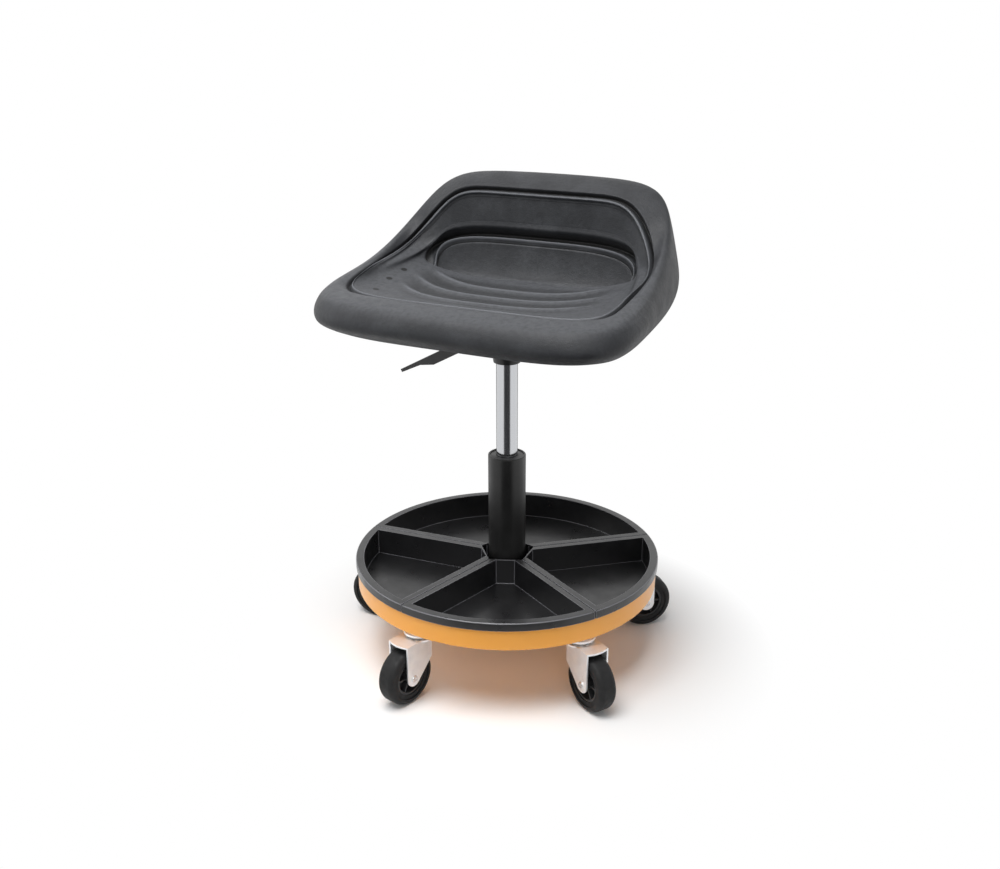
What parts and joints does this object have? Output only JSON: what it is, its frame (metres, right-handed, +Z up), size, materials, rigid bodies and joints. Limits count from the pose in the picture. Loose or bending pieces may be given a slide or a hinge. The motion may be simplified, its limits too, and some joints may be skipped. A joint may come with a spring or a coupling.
{
  "type": "wheeled workshop stool",
  "caption": "Low-backed moulded stool seat on a gas spring, over a round orange base that carries removable wedge trays and swivel casters.",
  "frame": {"origin": "point on the floor below the swivel axis", "axes": "+Z up along the swivel axis, the sitter faces -Y, +X to the sitter's left"},
  "size_m": [0.4509, 0.4563, 0.6288],
  "materials": {
    "orange_enamel": "semi-gloss orange powder coat",
    "black_steel": "satin black paint",
    "satin_black_tube": "satin black paint",
    "dark_steel": "phosphated",
    "bright_steel": "ground",
    "zinc_plate": "bright zinc plate",
    "chromed_steel": "polished chrome",
    "aluminium": "turned",
    "black_plastic": "fine texture",
    "tray_plastic": "fine texture with smooth rims",
    "black_rubber": "moulded",
    "grey_tyre": "smooth tread",
    "plywood": "bare",
    "charcoal_pu": "grained integral-skin polyurethane"
  },
  "bodies": {
    "base": {"base_pan": "orange_enamel", "hub_socket": "black_steel", "spider_arms": "black_steel", "column_tube": "satin_black_tube", "column_bush": "black_plastic", "column_end": "dark_steel", "thrust_race_lower": "bright_steel", "thrust_balls": "bright_steel", "caster_stems": "zinc_plate", "caster_races": "zinc_plate", "caster_balls": "bright_steel", "caster_nuts": "zinc_plate"},
    "spindle": {"piston_rod": "chromed_steel", "thrust_race_upper": "bright_steel", "rod_clip": "dark_steel", "piston": "aluminium", "piston_seal": "black_rubber", "bump_buffer": "black_rubber"},
    "seat": {"gas_cylinder": "chromed_steel", "cylinder_gland": "aluminium", "valve_body": "aluminium", "taper_socket": "black_steel", "lever_housing": "black_steel", "seat_plate": "black_steel", "seat_screws": "zinc_plate", "seat_board": "plywood", "seat_tnuts": "zinc_plate", "seat_pad": "charcoal_pu", "lever_pivot_pin": "bright_steel"},
    "lever": {"release_lever": "black_plastic"},
    "valve": {"valve_pin": "bright_steel"},
    "caster_1": {"fork_1": "zinc_plate", "axle_1": "bright_steel"},
    "caster_2": {"fork_2": "zinc_plate", "axle_2": "bright_steel"},
    "caster_3": {"fork_3": "zinc_plate", "axle_3": "bright_steel"},
    "caster_4": {"fork_4": "zinc_plate", "axle_4": "bright_steel"},
    "caster_5": {"fork_5": "zinc_plate", "axle_5": "bright_steel"},
    "wheel_1": {"wheel_core_1": "black_plastic", "tyre_1": "grey_tyre"},
    "wheel_2": {"wheel_core_2": "black_plastic", "tyre_2": "grey_tyre"},
    "wheel_3": {"wheel_core_3": "black_plastic", "tyre_3": "grey_tyre"},
    "wheel_4": {"wheel_core_4": "black_plastic", "tyre_4": "grey_tyre"},
    "wheel_5": {"wheel_core_5": "black_plastic", "tyre_5": "grey_tyre"},
    "tray_body_1": {"tray_1": "tray_plastic"},
    "tray_body_2": {"tray_2": "tray_plastic"},
    "tray_body_3": {"tray_3": "tray_plastic"},
    "tray_body_4": {"tray_4": "tray_plastic"},
    "tray_body_5": {"tray_5": "tray_plastic"}
  },
  "joints": [
    {"name": "seat_swivel", "type": "hinge", "parent": "base", "child": "spindle", "pos_m": [0, 0, 0.1], "axis": [0, 0, 1], "continuous": true},
    {"name": "seat_lift", "type": "slide", "parent": "spindle", "child": "seat", "axis": [0, 0, 1], "range_m": [-0.125, 0]},
    {"name": "lever_pull", "type": "hinge", "parent": "seat", "child": "lever", "pos_m": [-0.022, 0, 0.4446], "axis": [0, 1, 0], "range_deg": [0, 8], "stiffness_Nm_per_rad": 1, "springref_deg": -5.73},
    {"name": "valve_press", "type": "slide", "parent": "seat", "child": "valve", "axis": [0, 0, -1], "range_m": [0, 0.00307]},
    {"name": "caster_1_swivel", "type": "hinge", "parent": "base", "child": "caster_1", "pos_m": [0.13132, 0.11415, 0.09], "axis": [0, 0, 1], "continuous": true},
    {"name": "caster_1_roll", "type": "hinge", "parent": "caster_1", "child": "wheel_1", "pos_m": [0.1517, 0.13187, 0.0375], "axis": [-0.6561, 0.7547, 0], "continuous": true},
    {"name": "caster_2_swivel", "type": "hinge", "parent": "base", "child": "caster_2", "pos_m": [-0.06799, 0.16017, 0.09], "axis": [0, 0, 1], "continuous": true},
    {"name": "caster_2_roll", "type": "hinge", "parent": "caster_2", "child": "wheel_2", "pos_m": [-0.07854, 0.18502, 0.0375], "axis": [-0.9205, -0.3907, 0], "continuous": true},
    {"name": "caster_3_swivel", "type": "hinge", "parent": "base", "child": "caster_3", "pos_m": [-0.17334, -0.01516, 0.09], "axis": [0, 0, 1], "continuous": true},
    {"name": "caster_3_roll", "type": "hinge", "parent": "caster_3", "child": "wheel_3", "pos_m": [-0.20023, -0.01752, 0.0375], "axis": [0.0872, -0.9962, 0], "continuous": true},
    {"name": "caster_4_swivel", "type": "hinge", "parent": "base", "child": "caster_4", "pos_m": [-0.03914, -0.16954, 0.09], "axis": [0, 0, 1], "continuous": true},
    {"name": "caster_4_roll", "type": "hinge", "parent": "caster_4", "child": "wheel_4", "pos_m": [-0.04521, -0.19585, 0.0375], "axis": [0.9744, -0.225, 0], "continuous": true},
    {"name": "caster_5_swivel", "type": "hinge", "parent": "base", "child": "caster_5", "pos_m": [0.14915, -0.08962, 0.09], "axis": [0, 0, 1], "continuous": true},
    {"name": "caster_5_roll", "type": "hinge", "parent": "caster_5", "child": "wheel_5", "pos_m": [0.17229, -0.10352, 0.0375], "axis": [0.515, 0.8572, 0], "continuous": true},
    {"name": "tray_1_lift", "type": "slide", "parent": "base", "child": "tray_body_1", "axis": [0, 0, 1], "range_m": [0, 0.06]},
    {"name": "tray_2_lift", "type": "slide", "parent": "base", "child": "tray_body_2", "axis": [0, 0, 1], "range_m": [0, 0.06]},
    {"name": "tray_3_lift", "type": "slide", "parent": "base", "child": "tray_body_3", "axis": [0, 0, 1], "range_m": [0, 0.06]},
    {"name": "tray_4_lift", "type": "slide", "parent": "base", "child": "tray_body_4", "axis": [0, 0, 1], "range_m": [0, 0.06]},
    {"name": "tray_5_lift", "type": "slide", "parent": "base", "child": "tray_body_5", "axis": [0, 0, 1], "range_m": [0, 0.06]}
  ],
  "couplings": [
    {"joint": "valve_press", "follows": "lever_pull", "m_per_rad": 0.022}
  ]
}
